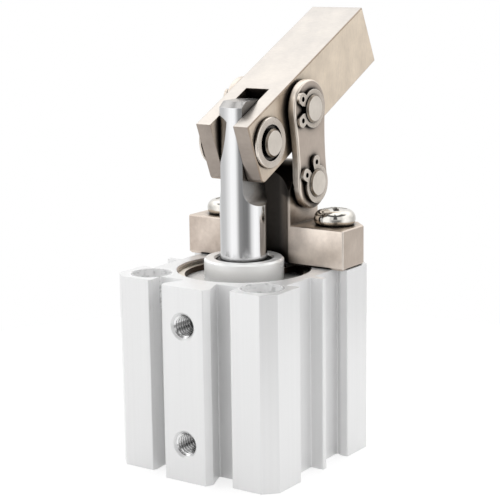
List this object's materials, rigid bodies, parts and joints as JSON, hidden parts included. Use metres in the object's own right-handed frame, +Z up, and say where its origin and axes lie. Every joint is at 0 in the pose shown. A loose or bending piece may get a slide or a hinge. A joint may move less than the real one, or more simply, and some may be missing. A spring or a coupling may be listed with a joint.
{
  "type": "lever clamp cylinder",
  "caption": "Compact air cylinder with grooved square barrel whose rod swings a straight clamp arm down through side link plates pinned to a clevis on top.",
  "frame": {"origin": "on the rod axis in the flat bottom face of the barrel, at the centre of the base bolt pattern", "axes": "+Z up along the rod, -Y out of the face with the two ports, +Y towards the clamp arm's nose, +X to the right seen from the ports"},
  "size_m": [0.04, 0.0662, 0.0941],
  "materials": {
    "anodised_aluminium": "clear anodised extrusion, satin",
    "turned_aluminium": "turned, fine lathe lines",
    "nickel_plated_steel": "milled and nickel plated, warm satin",
    "nickel_pin_steel": "turned and nickel plated",
    "nickel_screw_steel": "bright nickel plated",
    "ground_rod_steel": "ground and polished",
    "spring_steel": "blackened spring steel",
    "dark_screw_steel": "black oxide",
    "bush_bronze": "sintered bronze",
    "rubber": "moulded nitrile rubber",
    "bumper_rubber": "moulded polyurethane",
    "bonded_magnet": "bonded ferrite"
  },
  "bodies": {
    "cylinder": {"barrel": "anodised_aluminium", "rear_cover": "turned_aluminium", "rear_cover_o_ring": "rubber", "rear_circlip": "spring_steel", "rear_bumper": "bumper_rubber", "rod_cover": "turned_aluminium", "rod_cover_o_ring": "rubber", "front_circlip": "spring_steel", "front_bumper": "bumper_rubber", "rod_bush": "bush_bronze", "rod_seal": "rubber", "clevis": "nickel_plated_steel", "clevis_pin": "nickel_pin_steel", "clevis_pin_ring_right": "nickel_pin_steel", "clevis_pin_ring_left": "nickel_pin_steel", "clevis_screw_right": "nickel_screw_steel", "clevis_screw_left": "nickel_screw_steel"},
    "rod": {"piston_rod": "ground_rod_steel", "piston": "turned_aluminium", "piston_seal": "rubber", "magnet_ring": "bonded_magnet", "piston_screw": "dark_screw_steel", "rod_end_pin": "nickel_pin_steel", "rod_pin_ring_right": "nickel_pin_steel", "rod_pin_ring_left": "nickel_pin_steel"},
    "arm": {"clamp_arm": "nickel_plated_steel"},
    "links": {"link_plate_right": "nickel_plated_steel", "link_plate_left": "nickel_plated_steel", "link_pin": "nickel_pin_steel", "link_pin_ring_right": "nickel_pin_steel", "link_pin_ring_left": "nickel_pin_steel"}
  },
  "joints": [
    {"name": "rod_stroke", "type": "slide", "parent": "cylinder", "child": "rod", "axis": [0, 0, 1], "range_m": [-0.0078, 0.0062]},
    {"name": "arm_swing", "type": "hinge", "parent": "rod", "child": "arm", "pos_m": [0, 0, 0.0682], "axis": [1, 0, 0], "range_deg": [-25.9, 32.6]},
    {"name": "link_swing", "type": "hinge", "parent": "cylinder", "child": "links", "pos_m": [0, 0.0138, 0.0582], "axis": [1, 0, 0], "range_deg": [-11.3, 14.2]}
  ],
  "couplings": [
    {"joint": "arm_swing", "follows": "rod_stroke", "rad_per_m": -72.623},
    {"joint": "link_swing", "follows": "rod_stroke", "rad_per_m": -31.503}
  ]
}
